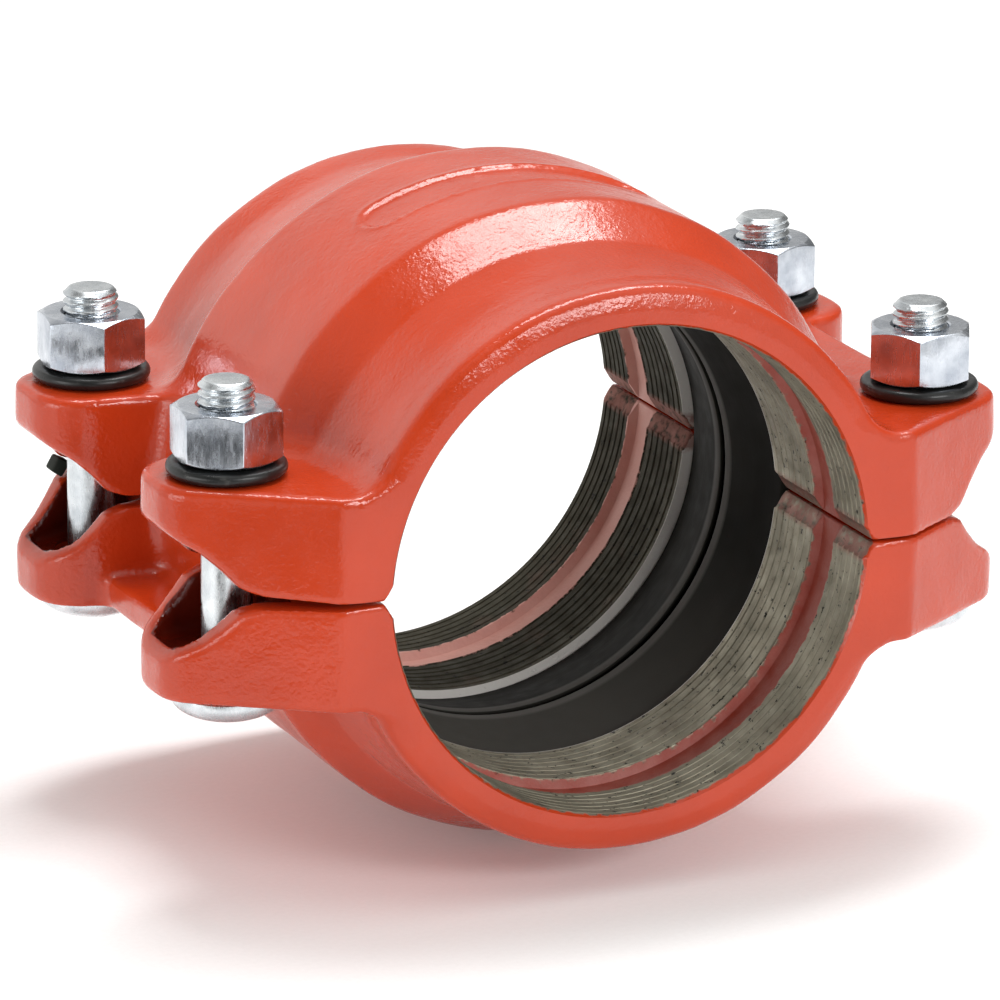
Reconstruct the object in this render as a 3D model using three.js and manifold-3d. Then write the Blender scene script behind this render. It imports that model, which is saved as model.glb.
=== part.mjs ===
// Four-bolt pipe coupling for plain-end pipe: two cast housing halves close round a rubber gasket.
// Millimetres. +Y runs along the pipe, +X across the bolts, +Z up towards the nuts.
// The origin is the centre of the bore. Both halves meet on the plane Z = 0.

import * as THREE from 'three'
import { mergeVertices } from 'three/addons/utils/BufferGeometryUtils.js'
import Module from 'manifold-3d'

const wasm = await Module()
wasm.setup()

// Overall
const LENGTH = 141.2 // end face to end face
const GAP = 0.3 // clearance between pieces that touch
const ROUND = 48 // sides of a full turn of the large rings

// Housing shell and bore, as radii from a line BORE_OFFSET past the joint
const BAND_RADIUS = 75.8 // raised band over the gasket
const BAND_HALF_WIDTH = 25.3
const WAIST_RADIUS = 65.9
const RIM_RADIUS = 66.4
const END_FACE_RADIUS = 61.7
const BORE_RADIUS = 57.2 // crest of the gripping bands, the pipe is 57.15
const BORE_OFFSET = 1.3 // each half is centred this far beyond the joint, so its bore bites
const GROOVE_RADIUS = 59.2
const MOUTH_RADIUS = 58.3
const POCKET_RADIUS = 68.8 // gasket pocket, from the pipe axis
const POCKET_HALF_WIDTH = 24.6
const INNER_BAND_END = 44.5
const OUTER_BAND_START = 55
const OUTER_BAND_END = 67.8

// Bolt lugs
const BOLT_X = 84.9
const BOLT_Y = 41.2
const PAD_Z = 24.6 // nut side of the upper half, head side of the lower half
const LUG_END_X = 102.4
const FLOOR_Z = 15.6 // lug floor that the bolt passes through
const WEB_Z = 17.5 // web between the two lugs on one side of each half
const WEB_X = 88.5
const JOINT_GAP = 0.3 // each half stands this far from Z = 0
const RELIEF = 1.2 // extra gap at the outer edge of the pads on the open side
const HOLE_RADIUS = 7.3
const HOLE_STRETCH = 3.4 // the oval hole is this much longer than it is wide

// Fasteners, half-inch size
const THREAD_RADIUS = 6.35
const SHANK_RADIUS = 5.75
const STUD_TOP_Z = 46.2
const NUT_FLATS = 22.2
const NUT_HEIGHT = 12.3
const NUT_CHAMFER = 1.1
const WASHER_RADIUS = 13.5
const WASHER_THICKNESS = 3
const HEAD_RADIUS = 12.7
const HEAD_HEIGHT = 6.6

// Gasket
const GASKET_RADIUS = POCKET_RADIUS - 0.4
const GASKET_HALF_WIDTH = POCKET_HALF_WIDTH - 0.5
const LIP_RADIUS = 55.2

const BOLTS = [
  { name: 'front_left', x: -BOLT_X, y: -BOLT_Y, nutTurn: 24.9 },
  { name: 'front_right', x: BOLT_X, y: -BOLT_Y, nutTurn: 3.4 },
  { name: 'rear_left', x: -BOLT_X, y: BOLT_Y, nutTurn: 22.9 },
  { name: 'rear_right', x: BOLT_X, y: BOLT_Y, nutTurn: 21 },
]

const paint = { color: 0xd94a26, roughness: 0.35, metalness: 0 }
const zinc = { color: 0xc9ccd0, roughness: 0.28, metalness: 1 }
const blackRubber = { color: 0x24221f, roughness: 0.55, metalness: 0 }
const blackSteel = { color: 0x2b2c29, roughness: 0.4, metalness: 0.6 }

// ---- solids ---------------------------------------------------------------------------------

// A closed geometry as a solid for joining and cutting, with its faces turned outwards.
function solid(geometry) {
  const plain = geometry.index ? geometry.toNonIndexed() : geometry.clone()
  plain.deleteAttribute('normal')
  plain.deleteAttribute('uv')
  const merged = mergeVertices(plain, 1e-3)
  const corners = merged.attributes.position.array
  const source = merged.index.array
  const triangles = []
  let volume = 0
  for (let i = 0; i < source.length; i += 3) {
    const [a, b, c] = [source[i], source[i + 1], source[i + 2]]
    if (a === b || b === c || c === a) continue
    triangles.push(a, b, c)
    const [p, q, r] = [a, b, c].map((k) => new THREE.Vector3().fromArray(corners, 3 * k))
    volume += p.dot(q.cross(r))
  }
  if (volume < 0) triangles.reverse()
  return new wasm.Manifold(
    new wasm.Mesh({
      numProp: 3,
      vertProperties: new Float32Array(corners),
      triVerts: new Uint32Array(triangles),
    }),
  )
}

// A solid back as a geometry for a mesh.
function geometryOf(manifold) {
  const mesh = manifold.getMesh()
  const geometry = new THREE.BufferGeometry()
  geometry.setAttribute('position', new THREE.BufferAttribute(new Float32Array(mesh.vertProperties), 3))
  geometry.setIndex(new THREE.BufferAttribute(new Uint32Array(mesh.triVerts), 1))
  geometry.computeVertexNormals()
  return geometry
}

// An outline [radius, position along the pipe] turned round the pipe axis.
function turned(outline, sides = ROUND) {
  const profile = outline.map(([radius, y]) => new THREE.Vector2(radius, y))
  return new THREE.LatheGeometry(profile, sides)
}

// An outline for one half of the length, mirrored to both ends; radii follow |y| from 0 outwards.
function bothEnds(half) {
  const far = half.map(([radius, y]) => [radius, y])
  const near = half.map(([radius, y]) => [radius, -y]).reverse()
  return [...near, ...far]
}

// A closed outline whose corners [x, y, radius] are rounded with short arcs.
function roundedShape(corners, steps = 5) {
  const points = []
  const count = corners.length
  corners.forEach(([x, y, radius], i) => {
    const here = new THREE.Vector2(x, y)
    const before = new THREE.Vector2(...corners[(i + count - 1) % count]).sub(here).normalize()
    const after = new THREE.Vector2(...corners[(i + 1) % count]).sub(here).normalize()
    if (!radius) {
      points.push(here)
      return
    }
    const halfAngle = Math.acos(before.dot(after)) / 2
    const reach = radius / Math.tan(halfAngle)
    const centre = before.clone().add(after).normalize().multiplyScalar(radius / Math.sin(halfAngle)).add(here)
    const start = before.multiplyScalar(reach).add(here).sub(centre)
    const end = after.multiplyScalar(reach).add(here).sub(centre)
    const sweep = Math.atan2(start.cross(end), start.dot(end))
    for (let k = 0; k <= steps; k++) {
      const turn = (sweep * k) / steps
      points.push(start.clone().rotateAround(new THREE.Vector2(), turn).add(centre))
    }
  })
  return new THREE.Shape(points)
}

// A plan outline raised from z = low to z = high.
function raised(shape, low, high, curveSegments = 12) {
  const geometry = new THREE.ExtrudeGeometry(shape, { depth: high - low, bevelEnabled: false, curveSegments })
  return geometry.translate(0, 0, low)
}

// A cross-section [x, z] drawn through the whole length of the coupling.
function alongPipe(points, halfLength) {
  const shape = new THREE.Shape(points.map(([x, z]) => new THREE.Vector2(x, z)))
  const geometry = new THREE.ExtrudeGeometry(shape, { depth: 2 * halfLength, bevelEnabled: false })
  return geometry.rotateX(Math.PI / 2).translate(0, halfLength, 0)
}

function box(low, high) {
  const size = high.map((value, i) => value - low[i])
  const geometry = new THREE.BoxGeometry(...size)
  return geometry.translate(...low.map((value, i) => value + size[i] / 2))
}

function join(pieces) {
  return pieces.map(solid).reduce((all, piece) => all.add(piece))
}

// ---- housing --------------------------------------------------------------------------------

// Outside of the shell: band over the gasket, sloping shoulders, waists, and end rims that lean
// back outside their flat faces.
function shell() {
  const end = LENGTH / 2
  return turned([
    [0, -end],
    ...bothEnds([
      [BAND_RADIUS, BAND_HALF_WIDTH],
      [74.9, 26.9],
      [69.7, 36.5],
      [68.6, 38.2],
      [67.4, 45],
      [WAIST_RADIUS, 57],
      [RIM_RADIUS, 66.5],
      [65.2, 69.3],
      [END_FACE_RADIUS, end],
    ]),
    [0, end],
  ])
}

// Plan of one bolt lug, for the quarter with x and y positive: flush with the end face at the
// shell, then straight back to a blunt rounded end beside the bolt.
function lugPlan(signX, signY) {
  const corners = [
    [50, 70.6, 0],
    [69.1, 70.6, 4],
    [LUG_END_X, 48.1, 10],
    [LUG_END_X, 24, 13],
    [76, 21.5, 6],
    [66, 12, 0],
    [50, 12, 0],
  ]
  return roundedShape(corners.map(([x, y, radius]) => [signX * x, signY * y, radius]))
}

// Hollow behind the lug's walls, open towards the other half.
function hollowPlan(signX, signY) {
  const corners = [
    [77, 57.6, 5],
    [99.2, 45.6, 7],
    [99.2, 28.2, 9],
    [77, 27, 5],
  ]
  return roundedShape(corners.map(([x, y, radius]) => [signX * x, signY * y, radius]), 3)
}

function ovalHole(x, y, radius, stretch, low, high) {
  const reach = stretch / 2
  const shape = new THREE.Shape()
  shape.absarc(x + reach, y, radius, -Math.PI / 2, Math.PI / 2)
  shape.absarc(x - reach, y, radius, Math.PI / 2, (3 * Math.PI) / 2)
  return raised(shape, low, high, 10)
}

// The bore: two gripping bands with a groove between them at each end, chamfered mouths.
function bore() {
  const end = LENGTH / 2
  return turned([
    [0, -end - 2],
    ...bothEnds([
      [BORE_RADIUS, INNER_BAND_END],
      [GROOVE_RADIUS, INNER_BAND_END + 0.8],
      [GROOVE_RADIUS, OUTER_BAND_START - 0.8],
      [BORE_RADIUS, OUTER_BAND_START],
      [BORE_RADIUS, OUTER_BAND_END],
      [MOUTH_RADIUS, end],
      [MOUTH_RADIUS, end + 2],
    ]),
    [0, end + 2],
  ])
}

function gasketPocket() {
  return turned([
    [0, -POCKET_HALF_WIDTH],
    [POCKET_RADIUS, -POCKET_HALF_WIDTH],
    [POCKET_RADIUS, POCKET_HALF_WIDTH],
    [0, POCKET_HALF_WIDTH],
  ])
}

// Cross-sections that are cut away on the +X side of a half: the joint, the bevel where the
// bore meets it, and the underside of the lugs, which rises outwards to a thin tip.
function jointCut(relief) {
  return [
    [-20, -200],
    [-20, JOINT_GAP],
    [60, JOINT_GAP],
    [BOLT_X, JOINT_GAP + relief],
    [88.2, 2.2 + relief / 2],
    [91.4, 6.1],
    [95.2, 9.8],
    [99.6, 12.8],
    [LUG_END_X + 0.4, 15.4],
    [LUG_END_X + 4, 17.4],
    [LUG_END_X + 4, -200],
  ]
}

const boreBevel = [
  [50, -4],
  [50, 4.4],
  [56.9, 4.4],
  [58.9, 0.9],
  [58.9, -4],
]

const flipX = (points) => points.map(([x, z]) => [-x, z])

// One half of the housing, as the upper one. The web joins the lugs on its +X side only, and
// its -X side has the relieved pads, unless reliefAtWeb puts them on the web's side.
function housingHalf(reliefAtWeb) {
  const signs = [[1, 1], [1, -1], [-1, 1], [-1, -1]]
  const lugs = signs.map(([sx, sy]) => raised(lugPlan(sx, sy), -1, PAD_Z))
  const web = box([60, -28, WEB_Z], [WEB_X, 28, PAD_Z])
  const hollows = signs.map(([sx, sy]) => raised(hollowPlan(sx, sy), -2, FLOOR_Z))
  const holes = signs.map(([sx, sy]) =>
    ovalHole(sx * BOLT_X, sy * BOLT_Y, HOLE_RADIUS, HOLE_STRETCH, FLOOR_Z - 2, PAD_Z + 2),
  )
  const reach = LENGTH / 2 + 5
  const cuts = [
    ...hollows,
    ...holes,
    bore().translate(0, 0, -BORE_OFFSET),
    gasketPocket(),
    alongPipe(jointCut(reliefAtWeb ? RELIEF : 0), reach),
    alongPipe(flipX(jointCut(reliefAtWeb ? 0 : RELIEF)), reach),
    alongPipe(boreBevel, reach),
    alongPipe(flipX(boreBevel), reach),
  ]
  return join([shell().translate(0, 0, -BORE_OFFSET), ...lugs, web]).subtract(join(cuts))
}

// ---- gasket ---------------------------------------------------------------------------------

// C-shaped ring: its back fills the pocket, and two lips lean in to meet over the pipe's end.
function gasketRing() {
  const half = [
    [GASKET_RADIUS, 0],
    [GASKET_RADIUS, GASKET_HALF_WIDTH - 1.6],
    [GASKET_RADIUS - 1.6, GASKET_HALF_WIDTH],
    [60.4, GASKET_HALF_WIDTH],
    [59, 23.1],
    [57.5, 16],
    [55.9, 8],
    [LIP_RADIUS, 4.4],
    [LIP_RADIUS + 0.8, 2.9],
    [57.4, 3.6],
    [59.4, 9.5],
    [61.2, 15],
    [63.4, 15],
    [64.4, 12],
  ]
  const mirrored = half.slice(1).map(([radius, y]) => [radius, -y])
  const outline = [...half, ...mirrored.reverse(), half[0]]
  return turned(outline, 40)
}

// ---- fasteners ------------------------------------------------------------------------------

// A profile [radius, z] turned about the bolt's own axis.
function spun(profile, sides = 20) {
  const points = profile.map(([radius, z]) => new THREE.Vector2(radius, z))
  return new THREE.LatheGeometry(points, sides).rotateX(Math.PI / 2)
}

// Track bolt: domed head, oval neck that stops it turning, plain shank and threaded end.
function trackBolt() {
  const seat = -PAD_Z - GAP
  const dome = []
  const domeSteps = 4
  for (let k = 0; k <= domeSteps; k++) {
    const angle = (k / domeSteps) * (Math.PI / 2)
    dome.push([HEAD_RADIUS * Math.sin(angle), seat - 1.2 - (HEAD_HEIGHT - 1.2) * Math.cos(angle)])
  }
  const body = spun([
    ...dome,
    [HEAD_RADIUS, seat],
    [SHANK_RADIUS, seat],
    [SHANK_RADIUS, FLOOR_Z + 2],
    [THREAD_RADIUS, FLOOR_Z + 2.6],
    [THREAD_RADIUS, STUD_TOP_Z - 1.2],
    [THREAD_RADIUS - 1.2, STUD_TOP_Z],
    [0, STUD_TOP_Z],
  ])
  const neck = ovalHole(0, 0, HOLE_RADIUS - 0.45, HOLE_STRETCH, seat - 0.5, -FLOOR_Z - 1)
  return geometryOf(solid(body).add(solid(neck)))
}

// Heavy hex nut with both faces chamfered, resting with its lower face at z = 0.
function hexNut() {
  const cornerRadius = NUT_FLATS / Math.sqrt(3)
  const prism = new THREE.CylinderGeometry(cornerRadius, cornerRadius, NUT_HEIGHT, 6)
  prism.rotateX(Math.PI / 2).rotateZ(Math.PI / 2).translate(0, 0, NUT_HEIGHT / 2)
  const flatRadius = cornerRadius - 1.9
  const turnedBlank = spun([
    [0, 0],
    [flatRadius, 0],
    [cornerRadius + 0.1, NUT_CHAMFER],
    [cornerRadius + 0.1, NUT_HEIGHT - NUT_CHAMFER],
    [flatRadius, NUT_HEIGHT],
    [0, NUT_HEIGHT],
  ], 24)
  const hole = spun([[0, -1], [THREAD_RADIUS + GAP, -1], [THREAD_RADIUS + GAP, NUT_HEIGHT + 1], [0, NUT_HEIGHT + 1]])
  return geometryOf(solid(prism).intersect(solid(turnedBlank)).subtract(solid(hole)))
}

// Plain washer with rounded rims, resting with its lower face at z = 0.
function plainWasher() {
  const inner = THREAD_RADIUS + 0.5
  const edge = 0.7
  return spun([
    [inner, 0],
    [WASHER_RADIUS - edge, 0],
    [WASHER_RADIUS, edge],
    [WASHER_RADIUS, WASHER_THICKNESS - edge],
    [WASHER_RADIUS - edge, WASHER_THICKNESS],
    [inner, WASHER_THICKNESS],
    [inner, 0],
  ], 24)
}

// ---- spacer ---------------------------------------------------------------------------------

// Small tilted block that fills the notch between the two rear left pads.
function padSpacer() {
  const section = [[-90.6, -0.3], [-87.9, -2.2], [-85.6, 1.3], [-88.7, 2.9]]
  return alongPipe(section, 2.3).translate(0, 54.8, 0)
}

// ---- assembly -------------------------------------------------------------------------------

function named(name, geometry, finish) {
  const mesh = new THREE.Mesh(geometry, new THREE.MeshStandardMaterial(finish))
  mesh.name = name
  return mesh
}

const coupling = new THREE.Group()

const lowerHalf = new THREE.Group()
lowerHalf.add(named('lower_housing', geometryOf(housingHalf(true)), paint))
lowerHalf.rotation.y = Math.PI
coupling.add(lowerHalf)

coupling.add(named('upper_housing', geometryOf(housingHalf(false)), paint))
coupling.add(named('gasket', gasketRing(), blackRubber))
coupling.add(named('pad_spacer', padSpacer(), blackRubber))

const washerZ = PAD_Z + GAP
const nutZ = washerZ + WASHER_THICKNESS + GAP
for (const { name, x, y, nutTurn } of BOLTS) {
  const station = new THREE.Group()
  station.position.set(x, y, 0)
  const nut = named(`${name}_nut`, hexNut(), zinc)
  nut.position.z = nutZ
  nut.rotation.z = THREE.MathUtils.degToRad(nutTurn)
  const washer = named(`${name}_washer`, plainWasher(), blackSteel)
  washer.position.z = washerZ
  station.add(named(`${name}_bolt`, trackBolt(), zinc), washer, nut)
  coupling.add(station)
}

export default coupling
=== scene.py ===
"""Looks for the bolted pipe coupling: enamelled castings, rubber gasket, zinc bolts and nuts."""

import math

import bpy
import numpy as np
from mathutils import Matrix, Vector


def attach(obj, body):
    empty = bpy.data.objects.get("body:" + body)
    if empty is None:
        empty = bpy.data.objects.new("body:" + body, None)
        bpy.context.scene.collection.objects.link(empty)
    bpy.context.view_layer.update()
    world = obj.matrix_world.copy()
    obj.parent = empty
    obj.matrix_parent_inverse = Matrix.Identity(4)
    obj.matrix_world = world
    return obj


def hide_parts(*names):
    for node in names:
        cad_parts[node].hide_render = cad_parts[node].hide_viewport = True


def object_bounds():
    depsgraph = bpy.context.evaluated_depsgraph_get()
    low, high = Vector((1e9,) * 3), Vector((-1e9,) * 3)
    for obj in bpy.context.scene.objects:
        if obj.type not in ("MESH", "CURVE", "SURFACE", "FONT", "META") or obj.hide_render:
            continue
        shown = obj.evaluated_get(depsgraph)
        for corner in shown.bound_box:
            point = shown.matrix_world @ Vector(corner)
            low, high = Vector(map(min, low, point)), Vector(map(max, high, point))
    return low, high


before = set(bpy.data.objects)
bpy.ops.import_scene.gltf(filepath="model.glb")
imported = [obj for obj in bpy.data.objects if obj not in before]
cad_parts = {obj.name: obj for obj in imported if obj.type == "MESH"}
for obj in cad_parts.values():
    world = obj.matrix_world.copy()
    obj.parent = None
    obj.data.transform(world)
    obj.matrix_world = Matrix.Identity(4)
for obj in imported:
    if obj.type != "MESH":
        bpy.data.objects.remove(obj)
CAD_BOX = [list(corner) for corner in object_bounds()]

# ---- sizes, in millimetres ------------------------------------------------------------------
# The origin is the centre of the bore, +Y runs along the pipe and +Z up towards the nuts.

MM = 0.001
LENGTH = 141.2
END = LENGTH / 2
BAND_RADIUS = 74.5
BORE_RADIUS = 57.2
BORE_OFFSET = 1.3
GROOVE_FLOOR = 59.2
MOUTH_RADIUS = 58.3
POCKET_RADIUS = 68.8
POCKET_HALF_WIDTH = 24.6
GASKET_SQUEEZE = 0.972
INNER_TEETH = (24.0, 44.4)
OUTER_TEETH = (55.0, 67.8)
BOLT_X = 84.9
BOLT_Y = 41.2
PAD_Z = 24.6
LUG_END_X = 102.4
FLOOR_Z = 15.6
WEB_Z = 17.5
WEB_X = 88.5
WEB_END_Y = 40
JOINT_GAP = 0.3
RELIEF = 1.2
HOLE_RADIUS = 7.3
HOLE_STRETCH = 3.4
THREAD_RADIUS = 6.35
THREAD_ROOT = 5.55
THREAD_PITCH = 25.4 / 13
SHANK_RADIUS = 5.75
STUD_TOP_Z = 46.2
NUT_FLATS = 22.2
NUT_HEIGHT = 12.3
NUT_Z = 28.2
WASHER_Z = 24.9
WASHER_THICKNESS = 3.0
WASHER_RADIUS = 13.5
HEAD_RADIUS = 12.7
HEAD_TOP_Z = -24.9
HEAD_HEIGHT = 6.6

# name, side, end, how far the nut is turned in degrees
BOLTS = [
    ("front_left", -1, -1, 24.9),
    ("front_right", 1, -1, 3.4),
    ("rear_left", -1, 1, 22.9),
    ("rear_right", 1, 1, 21.0),
]


# ---- meshes ---------------------------------------------------------------------------------


def mesh_object(name, points, faces):
    """A new object from points in millimetres and faces as lists of point numbers."""
    mesh = bpy.data.meshes.new(name)
    mesh.from_pydata((np.asarray(points) * MM).tolist(), [], [list(map(int, f)) for f in faces])
    mesh.validate()
    made = bpy.data.objects.new(name, mesh)
    bpy.context.scene.collection.objects.link(made)
    return made


def quad_object(name, points, quads):
    """The same as mesh_object for a large mesh of quads only."""
    mesh = bpy.data.meshes.new(name)
    mesh.vertices.add(len(points))
    mesh.vertices.foreach_set("co", (points * MM).astype(np.float32).ravel())
    mesh.loops.add(4 * len(quads))
    mesh.loops.foreach_set("vertex_index", quads.astype(np.int32).ravel())
    mesh.polygons.add(len(quads))
    mesh.polygons.foreach_set("loop_start", np.arange(0, 4 * len(quads), 4, dtype=np.int32))
    mesh.update(calc_edges=True)
    mesh.validate()
    made = bpy.data.objects.new(name, mesh)
    bpy.context.scene.collection.objects.link(made)
    return made


def smooth(piece, angle=30):
    """Smooth shading, with edges sharper than the angle left crisp."""
    mesh = piece.data
    mesh.polygons.foreach_set("use_smooth", [True] * len(mesh.polygons))
    mesh.set_sharp_from_angle(angle=math.radians(angle))
    return piece


def remove(piece):
    mesh = piece.data
    bpy.data.objects.remove(piece)
    bpy.data.meshes.remove(mesh)


def bake_modifiers(piece):
    """Applies the piece's modifiers to its mesh."""
    depsgraph = bpy.context.evaluated_depsgraph_get()
    old = piece.data
    piece.data = bpy.data.meshes.new_from_object(piece.evaluated_get(depsgraph))
    piece.modifiers.clear()
    bpy.data.meshes.remove(old)
    return piece


def carve(piece, tool, operation="DIFFERENCE"):
    """Cuts, joins or crosses the piece with a closed tool, and removes the tool."""
    modifier = piece.modifiers.new("carve", "BOOLEAN")
    modifier.object = tool
    modifier.operation = operation
    modifier.solver = "MANIFOLD"
    bake_modifiers(piece)
    remove(tool)
    return piece


def round_edges(piece, width, angle=30, segments=2):
    """Small rounds along every edge sharper than the angle."""
    modifier = piece.modifiers.new("rounds", "BEVEL")
    modifier.width = width * MM
    modifier.segments = segments
    modifier.limit_method = "ANGLE"
    modifier.angle_limit = math.radians(angle)
    modifier.harden_normals = False
    return bake_modifiers(piece)


def rings_object(name, rings, closed=False):
    """A skin over rings of points. The ends are capped, or joined to each other when closed."""
    rings = np.asarray(rings, float)
    count, around = rings.shape[:2]
    points = rings.reshape(-1, 3)
    number = np.arange(count * around).reshape(count, around)
    if closed:
        number = np.vstack([number, number[:1]])
    near, far = number[:-1], number[1:]
    quads = np.stack([near, np.roll(near, -1, 1), np.roll(far, -1, 1), far], 2).reshape(-1, 4)
    faces = quads.tolist()
    if not closed:
        faces += [number[0][::-1].tolist(), number[-1].tolist()]
    return mesh_object(name, points, faces)


def circle(sides):
    """Evenly spaced directions round a full turn."""
    return np.linspace(0, 2 * math.pi, sides, endpoint=False)


def turned(name, outline, sides, closed=True, centre_z=0.0):
    """An outline of (radius, y) turned about the pipe axis, or about a line centre_z above it."""
    turn = circle(sides)
    rings = [
        np.stack([r * np.cos(turn), np.full(sides, y), centre_z - r * np.sin(turn)], 1)
        for r, y in outline
    ]
    return rings_object(name, rings, closed)


def level_rings(outline, turn, x=0.0, y=0.0):
    """Rings round an upright axis for an outline of (radius, z). A radius may vary with turn."""
    return [
        np.stack([x + r * np.cos(turn), y + r * np.sin(turn), np.full(len(turn), z)], 1)
        for r, z in outline
    ]


def softened(outline, passes=2, share=0.25):
    """A closed outline with its corners cut off several times, which rounds them."""
    points = np.asarray(outline, float)
    for _ in range(passes):
        after = np.roll(points, -1, 0)
        points = np.stack(
            [points * (1 - share) + after * share, points * share + after * (1 - share)], 1
        ).reshape(-1, 2)
    return points.tolist()


def rounded_corners(corners, steps=6):
    """An outline from corners (x, y, radius), each turned into an arc of that radius."""
    points = []
    for i, (x, y, radius) in enumerate(corners):
        here = Vector((x, y))
        before = (Vector(corners[i - 1][:2]) - here).normalized()
        after = (Vector(corners[(i + 1) % len(corners)][:2]) - here).normalized()
        if not radius:
            points.append(tuple(here))
            continue
        half_angle = math.acos(before.dot(after)) / 2
        centre = here + (before + after).normalized() * (radius / math.sin(half_angle))
        start = here + before * (radius / math.tan(half_angle)) - centre
        end = here + after * (radius / math.tan(half_angle)) - centre
        sweep = math.atan2(start.x * end.y - start.y * end.x, start.dot(end))
        for k in range(steps + 1):
            turn = sweep * k / steps
            spun = Matrix.Rotation(turn, 2) @ start
            points.append(tuple(spun + centre))
    return points


# ---- distance fields: each casting is shaped as one, then skinned ----------------------------


def outline_distance(outline, u, v):
    """Distance to a closed outline, negative inside it."""
    nearest = np.full(np.broadcast(u, v).shape, 1e9)
    inside = np.zeros(nearest.shape, bool)
    for (ax, ay), (bx, by) in zip(outline, list(outline[1:]) + [outline[0]]):
        ex, ey = bx - ax, by - ay
        along = np.clip(((u - ax) * ex + (v - ay) * ey) / (ex * ex + ey * ey + 1e-12), 0, 1)
        away = (u - ax - ex * along) ** 2 + (v - ay - ey * along) ** 2
        nearest = np.minimum(nearest, away)
        if ey:
            crosses = (ay > v) != (by > v)
            inside ^= crosses & (u < ax + ex * (v - ay) / ey)
    return np.where(inside, -1, 1) * np.sqrt(nearest)


def joined(a, b, fillet):
    """Both shapes, with a round fillet where they meet."""
    corner = np.hypot(np.maximum(fillet - a, 0), np.maximum(fillet - b, 0))
    return np.maximum(np.minimum(a, b), fillet) - corner


def crossed(a, b, edge):
    """What the two shapes share, with a rounded edge."""
    corner = np.hypot(np.maximum(edge + a, 0), np.maximum(edge + b, 0))
    return np.minimum(np.maximum(a, b), -edge) + corner


def cut(a, b, edge):
    """The first shape without the second, with a rounded edge."""
    return crossed(a, -b, edge)


def blurred(table, passes):
    """A table of distances smoothed a little both ways, which rounds every edge it holds."""
    for _ in range(passes):
        padded = np.pad(table, 1, mode="edge")
        table = (padded[:-2, 1:-1] + 2 * padded[1:-1, 1:-1] + padded[2:, 1:-1]) / 4
        padded = np.pad(table, 1, mode="edge")
        table = (padded[1:-1, :-2] + 2 * padded[1:-1, 1:-1] + padded[1:-1, 2:]) / 4
    return table


def looked_up(table, step, u, v):
    """Values between the samples of a table whose first sample is at 0, 0."""
    u, v = np.broadcast_arrays(u / step, v / step)
    i = np.clip(u.astype(int), 0, table.shape[0] - 2)
    j = np.clip(v.astype(int), 0, table.shape[1] - 2)
    fu, fv = u - i, v - j
    low = table[i, j] * (1 - fv) + table[i, j + 1] * fv
    high = table[i + 1, j] * (1 - fv) + table[i + 1, j + 1] * fv
    return low * (1 - fu) + high * fu


def skinned(name, field, origin, step):
    """Surface nets: one point in each cell the surface crosses, one quad over each crossing."""
    inside = field < 0
    corners = [(i, j, k) for i in (0, 1) for j in (0, 1) for k in (0, 1)]
    size = np.array(field.shape) - 1
    filled = np.zeros(size, np.int8)
    for i, j, k in corners:
        filled += inside[i : i + size[0], j : j + size[1], k : k + size[2]]
    active = (filled > 0) & (filled < 8)
    cells = np.argwhere(active)
    number = np.full(active.shape, -1, np.int32)
    number[active] = np.arange(len(cells))
    value = {c: field[tuple((cells + c).T)] for c in corners}
    total, hits = np.zeros((len(cells), 3)), np.zeros((len(cells), 1))
    for a in corners:
        for axis in range(3):
            if a[axis]:
                continue
            b = tuple(1 if n == axis else a[n] for n in range(3))
            crossing = (value[a] < 0) != (value[b] < 0)
            share = np.where(crossing, value[a] / (value[a] - value[b] + 1e-12), 0)
            at = np.array(a) + share[:, None] * (np.array(b) - np.array(a))
            total += at * crossing[:, None]
            hits += crossing[:, None]
    points = (cells + total / hits) * step + np.array(origin)
    quads = []
    for axis in range(3):
        b, c = (axis + 1) % 3, (axis + 2) % 3
        low = np.take(inside, range(field.shape[axis] - 1), axis)
        high = np.take(inside, range(1, field.shape[axis]), axis)
        for nodes, backwards in ((np.argwhere(low & ~high), False), (np.argwhere(~low & high), True)):
            ring = []
            for db, dc in ((-1, -1), (0, -1), (0, 0), (-1, 0)):
                cell = nodes.copy()
                cell[:, b] += db
                cell[:, c] += dc
                ring.append(number[tuple(cell.T)])
            quads.append(np.stack(ring[::-1] if backwards else ring, 1))
    return quad_object(name, points, np.concatenate(quads))


# ---- the casting ----------------------------------------------------------------------------

# Outside of the shell as (radius, distance from the middle): band, shoulder, waist, and an end
# face that leans back a little outside its flat inner ring. The radii are about the bore's
# centre line, which lies BORE_OFFSET past the joint.
SHELL_OUTLINE = [
    (-20, -30),
    (75.6, -30),
    (75.6, 25.3),
    (74.9, 26.9),
    (69.7, 36.5),
    (68.8, 38.0),
    (67.4, 45),
    (66.2, 53),
    (65.9, 58),
    (66.3, 64),
    (66.4, 67.2),
    (66.1, 68.7),
    (65.2, 69.5),
    (61.7, END + 0.05),
    (61.7, END + 3),
    (-20, END + 3),
]

LUG_PLAN = rounded_corners([
    (50, END, 0),
    (69.1, END, 4),
    (LUG_END_X, 48.1, 10),
    (LUG_END_X, 24, 13),
    (76, 21.5, 6),
    (66, 12, 0),
    (50, 12, 0),
])

HOLLOW_PLAN = rounded_corners([
    (77, 57.6, 5),
    (99.2, 45.6, 7),
    (99.2, 28.2, 9),
    (77, 27, 5),
])

# Cross-section below the lug's underside, which rises outwards to a thin tip.
UNDERSIDE = [
    (84.9, -9),
    (84.9, 0.2),
    (88.2, 1.8),
    (91.4, 5.9),
    (95.2, 9.8),
    (99.6, 12.8),
    (102.8, 15.4),
    (110, 19.5),
    (110, -9),
]

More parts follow.
